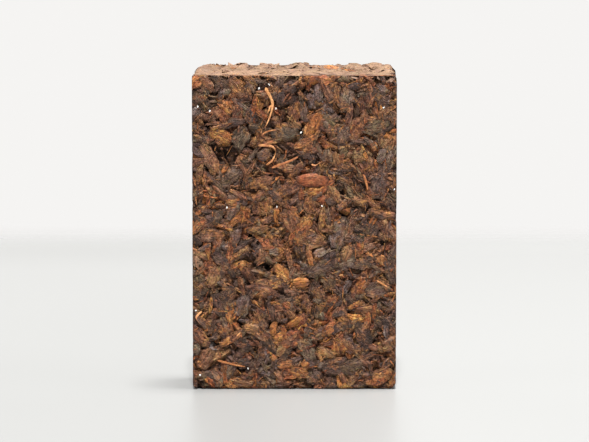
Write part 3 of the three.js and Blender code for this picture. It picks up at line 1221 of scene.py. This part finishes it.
def join_batches(name, laid):
    """One mesh of all the copies in a list, pressed into the mould."""
    starts = np.cumsum([0] + [len(points) for points, *_ in laid])
    points = np.concatenate([points for points, *_ in laid])
    triangles = np.concatenate([batch[1] + start for batch, start in zip(laid, starts)])
    if name == "unpressed_leaf":
        points[:, 1] = np.minimum(points[:, 1], HALF_DEPTH)
        buried = np.zeros(len(points))
    else:
        press_into_mould(points)
        buried = depth_inside(points)
    lift_top(points)
    points[:, 2] = np.minimum(points[:, 2], block_high[2])
    mesh = bpy.data.meshes.new(name)
    mesh.from_pydata(points * MM, [], triangles)
    notes = {
        GRAIN: ("FLOAT_VECTOR", "vector", np.concatenate([batch[2] for batch in laid])),
        "tone": ("FLOAT", "value", np.concatenate([batch[3] for batch in laid])),
        "rim": ("FLOAT", "value", np.concatenate([batch[4] for batch in laid])),
        "buried": ("FLOAT", "value", buried),
    }
    for note, (kind, field, values) in notes.items():
        mesh.attributes.new(note, kind, "POINT").data.foreach_set(field, values.ravel())
    piece = bpy.data.objects.new(name, mesh)
    scene.collection.objects.link(piece)
    smooth(piece)
    print(name, len(triangles), "triangles")
    return piece


leaf_pieces = {kind: join_batches(kind, laid) for kind, laid in batches.items()}

# %% [markdown]
# ## How the leaf looks
#
# Ripe tea is nearly black where it is thick and rust or tan where it is thin or torn. The finish reads the
# grain that each bit noted when it was flat, so its streaks and creases bend and roll with the leaf. Three
# noises are added up: streaks, speckles and wide patches. Their sum picks one of four browns, from dark to
# bright. Torn spots show a second colour: rust on dark leaf, dark brown on rusty leaf. A tint that changes
# from leaf to leaf runs from olive to ashen. Painted shade then darkens the colour towards black along
# creases, at each leaf's rim and where leaf lies deep. The top's pale leaf and the stalks are plainer: they
# have no torn spots, half the tint and only light painted shade at creases and rims.

# %% Leaf colours
TORN_RUST = ((0.11, 0.034, 0.011), (0.34, 0.137, 0.042), (0.57, 0.29, 0.102))
TORN_DARK = ((0.03, 0.015, 0.009), (0.11, 0.06, 0.036), (0.26, 0.15, 0.09))
TINTS = ((0.95, 0.93, 0.6), (1.0, 0.87, 0.58), (1.0, 0.79, 0.7), (0.86, 0.84, 0.84))  # olive to ashen
TINT_PLACES = (0.38, 0.46, 0.54, 0.62)
LEAF_COLOURS = {
    "dark_leaf": ((0.034, 0.017, 0.012), (0.099, 0.054, 0.04), (0.14, 0.1, 0.074), (0.29, 0.2, 0.13)),
    "brown_leaf": ((0.069, 0.027, 0.015), (0.2, 0.089, 0.05), (0.27, 0.16, 0.097), (0.41, 0.28, 0.17)),
    "grey_leaf": ((0.043, 0.025, 0.019), (0.13, 0.079, 0.068), (0.18, 0.15, 0.14), (0.34, 0.29, 0.26)),
    "rust_leaf": ((0.1, 0.027, 0.01), (0.29, 0.097, 0.037), (0.36, 0.18, 0.065), (0.51, 0.31, 0.14)),
    "golden_leaf": ((0.17, 0.06, 0.022), (0.4, 0.16, 0.051), (0.48, 0.26, 0.095), (0.61, 0.42, 0.19)),
    "buried_leaf": ((0.034, 0.013, 0.007), (0.12, 0.053, 0.031), (0.18, 0.099, 0.058), (0.29, 0.16, 0.088)),
    "loose_leaf": ((0.099, 0.057, 0.035), (0.16, 0.1, 0.067), (0.2, 0.13, 0.085), (0.27, 0.17, 0.11)),
    "stalks": ((0.41, 0.16, 0.066), (0.65, 0.31, 0.14), (0.78, 0.42, 0.22), (0.9, 0.6, 0.42)),
    "fibres": ((0.17, 0.053, 0.015), (0.38, 0.14, 0.05), (0.47, 0.26, 0.11), (0.6, 0.41, 0.19)),
    "crumbs": ((0.043, 0.018, 0.01), (0.17, 0.076, 0.041), (0.27, 0.15, 0.088), (0.44, 0.28, 0.15)),
}
LEAF_COLOURS["unpressed_leaf"] = LEAF_COLOURS["loose_leaf"]
TORN_SHARES = {"dark_leaf": 0.35, "brown_leaf": 0.5, "grey_leaf": 0.25, "rust_leaf": 0.6, "golden_leaf": 0.4}
# These kinds get only light painted shade at creases and rims.
PLAIN_LEAF = ("loose_leaf", "unpressed_leaf", "stalks")  # pale leaf, with few dark creases
STEP_PLACES = (0.41, 0.5, 0.58, 0.67)
# The near-black of the painted shade in creases, at rims and deep in the block.
PAINTED_SHADE_BLACK = (0.02, 0.0095, 0.0055, 1)


# %% Leaf finish
def stretch(tree, value, start, end, low, high):
    """Maps the part of a value between start and end to low and high."""
    node = add_node(
        tree, "MapRange",
        {"Value": value, "From Min": start, "From Max": end, "To Min": low, "To Max": high},
    )
    return node.outputs["Result"]


def cloud(tree, places, scale, detail=3.0, rough=0.6, warp=0.0):
    """A cloudy noise, its scale in blobs to each unit of the places."""
    inputs = {"Vector": places, "Scale": scale, "Detail": detail, "Roughness": rough, "Distortion": warp}
    return add_node(tree, "TexNoise", inputs).outputs["Fac"]


def over(tree, share, below, above):
    """One colour laid over another by a share."""
    return add_node(tree, "MixRGB", {"Fac": share, "Color1": below, "Color2": above}).outputs["Color"]


def leaf_finish(name, colours):
    """Dry leaf in four browns with torn spots, and painted shade along its creases, at its rim and where it
    is buried.
    """
    material, tree = new_material(name)
    places = add_node(tree, "TexCoord").outputs["Object"]
    grain, tone, rim, buried = [
        add_node(tree, "Attribute", attribute_name=note).outputs[output]
        for note, output in ((GRAIN, "Vector"), ("tone", "Fac"), ("rim", "Fac"), ("buried", "Fac"))
    ]
    long_grain = add_node(tree, "Mapping", {"Vector": grain, "Scale": (0.65, 1.9, 1)}).outputs["Vector"]
    streaks = cloud(tree, long_grain, 1.7, 4.0, 0.7, warp=0.5)
    wrinkles = cloud(tree, long_grain, 1.0, 3.0, 0.6, warp=0.7)
    speckles = cloud(tree, places, 1 / (0.5 * MM), 3.0, 0.7)
    patches = cloud(tree, places, 1 / (2.2 * MM), 2.0)
    shade = blend_sum(tree, 0.0, (streaks, 0.5), (speckles, 0.26), (patches, 0.24), (tone, 0.028))
    colour = colour_steps(tree, shade, list(zip(STEP_PLACES, colours)))

    is_plain = name in PLAIN_LEAF
    if not is_plain:
        torn = TORN_DARK if name in ("rust_leaf", "golden_leaf") else TORN_RUST
        torn_colour = colour_steps(tree, speckles, list(zip(STEP_PLACES, torn)))
        torn_spots = cloud(tree, places, 1 / (1.5 * MM), 3.0, 0.65)
        torn_share = stretch(tree, torn_spots, 0.52, 0.6, 0.0, TORN_SHARES.get(name, 0.3))
        colour = over(tree, torn_share, colour, torn_colour)
    one_leaf = add_node(tree, "Mapping", {"Vector": grain, "Scale": (0.06, 0.06, 1)}).outputs["Vector"]
    leaf_hue = cloud(tree, one_leaf, 1.0, 0.0)
    spot_hue = cloud(tree, places, 1 / (0.9 * MM), 4.0, 0.7)
    hue = blend_sum(tree, 0.0, (leaf_hue, 0.45), (spot_hue, 0.55))
    tint = colour_steps(tree, hue, list(zip(TINT_PLACES, TINTS)))
    tinted = {"Fac": 0.55 if is_plain else 1.0, "Color1": colour, "Color2": tint}
    colour = add_node(tree, "MixRGB", tinted, blend_type="MULTIPLY").outputs["Color"]

    # Painted shade: creases, each leaf's rim and leaf that lies deep are darkened towards black.
    off_crease = add_node(tree, "Math", {0: wrinkles, 1: 0.5}, operation="SUBTRACT").outputs["Value"]
    off_crease = add_node(tree, "Math", {0: off_crease}, operation="ABSOLUTE").outputs["Value"]
    darkest_painted_shade = 0.12 if is_plain else 0.85
    painted_crease_shade = stretch(tree, off_crease, 0.0, 0.05, 1.0, 0.0)
    crease_shade_amount = stretch(tree, patches, 0.4, 0.6, 0.15 * darkest_painted_shade, 0.8 * darkest_painted_shade)
    painted_crease_shade = add_node(tree, "Math", {0: painted_crease_shade, 1: crease_shade_amount}, operation="MULTIPLY").outputs["Value"]
    painted_rim_shade = stretch(tree, rim, 0.74, 1.0, 0.0, darkest_painted_shade)
    painted_deep_shade = stretch(tree, buried, 0.18, 0.85, 0.0, 0.95)
    leaf_painted_shade = add_node(tree, "Math", {0: painted_rim_shade, 1: painted_deep_shade}, operation="MAXIMUM").outputs["Value"]
    leaf_painted_shade = add_node(tree, "Math", {0: leaf_painted_shade, 1: painted_crease_shade}, operation="MAXIMUM").outputs["Value"]
    colour = over(tree, leaf_painted_shade, colour, PAINTED_SHADE_BLACK)

    relief = 0.3 if is_plain else 1.0
    height = blend_sum(tree, 0.0, (streaks, 0.5), (stretch(tree, off_crease, 0.0, 0.06, 0.0, 0.3), 1.0))
    folds = add_node(tree, "Bump", {"Height": height, "Strength": 1.0, "Distance": 0.5 * relief * MM})
    bump = add_node(
        tree, "Bump",
        {
            "Height": speckles,
            "Strength": 1.0,
            "Distance": 0.24 * relief * MM,
            "Normal": folds.outputs["Normal"],
        },
    )
    leaf = add_node(
        tree, "BsdfPrincipled",
        {
            "Base Color": colour,
            "Roughness": stretch(tree, speckles, 0.35, 0.65, 0.5, 0.8),
            "Specular IOR Level": 0.28,
            "Normal": bump.outputs["Normal"],
        },
    )
    add_node(tree, "OutputMaterial", {"Surface": leaf.outputs["BSDF"]})
    return material


for kind, colours in LEAF_COLOURS.items():
    leaf_pieces[kind].data.materials.append(leaf_finish(kind, colours))


# %% The imported middle's finish, of painted shade, and the specks' finish, with painted glints
def packed_painted_shade_finish():
    """Leaf with a broken surface, coloured nearly black: painted shade for the gaps between the bits."""
    material, tree = new_material("packed_leaf_in_painted_shade")
    places = add_node(tree, "TexCoord").outputs["Object"]
    crumbs = add_node(
        tree, "TexNoise", {"Vector": places, "Scale": 1 / (0.8 * MM), "Detail": 5.0}
    ).outputs["Fac"]
    # Nearly black: painted shade for the gaps.
    colour = colour_steps(tree, crumbs, [(0.4, (0.006, 0.004, 0.003)), (0.7, (0.03, 0.017, 0.01))])
    bump = add_node(tree, "Bump", {"Height": crumbs, "Strength": 0.9, "Distance": 0.4 * MM})
    leaf = add_node(
        tree, "BsdfPrincipled",
        {
            "Base Color": colour,
            "Roughness": 0.8,
            "Specular IOR Level": 0.15,
            "Normal": bump.outputs["Normal"],
        },
    )
    add_node(tree, "OutputMaterial", {"Surface": leaf.outputs["BSDF"]})
    return material


def painted_glint_finish():
    """Glossy specks whose near-white colour is a painted glint."""
    material, tree = new_material("speck_painted_highlight")
    places = add_node(tree, "TexCoord").outputs["Object"]
    cloud = add_node(
        tree, "TexNoise", {"Vector": places, "Scale": 1 / (0.3 * MM), "Detail": 2.0}
    ).outputs["Fac"]
    # Near-white colour: a painted glint on glossy specks.
    colour = colour_steps(tree, cloud, [(0.35, (0.6, 0.53, 0.47)), (0.65, (0.95, 0.93, 0.9))])
    speck = add_node(tree, "BsdfPrincipled", {"Base Color": colour, "Roughness": 0.12})
    add_node(tree, "OutputMaterial", {"Surface": speck.outputs["BSDF"]})
    return material


middle_piece.data.materials.append(packed_painted_shade_finish())
leaf_pieces["specks_with_painted_glints"].data.materials.append(painted_glint_finish())

# %% [markdown]
# ## Tie everything to the model
#
# Each piece rides on the block's one body.

# %% Tie each piece to the body
for piece in (middle_piece, *leaf_pieces.values()):
    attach(piece, "root")
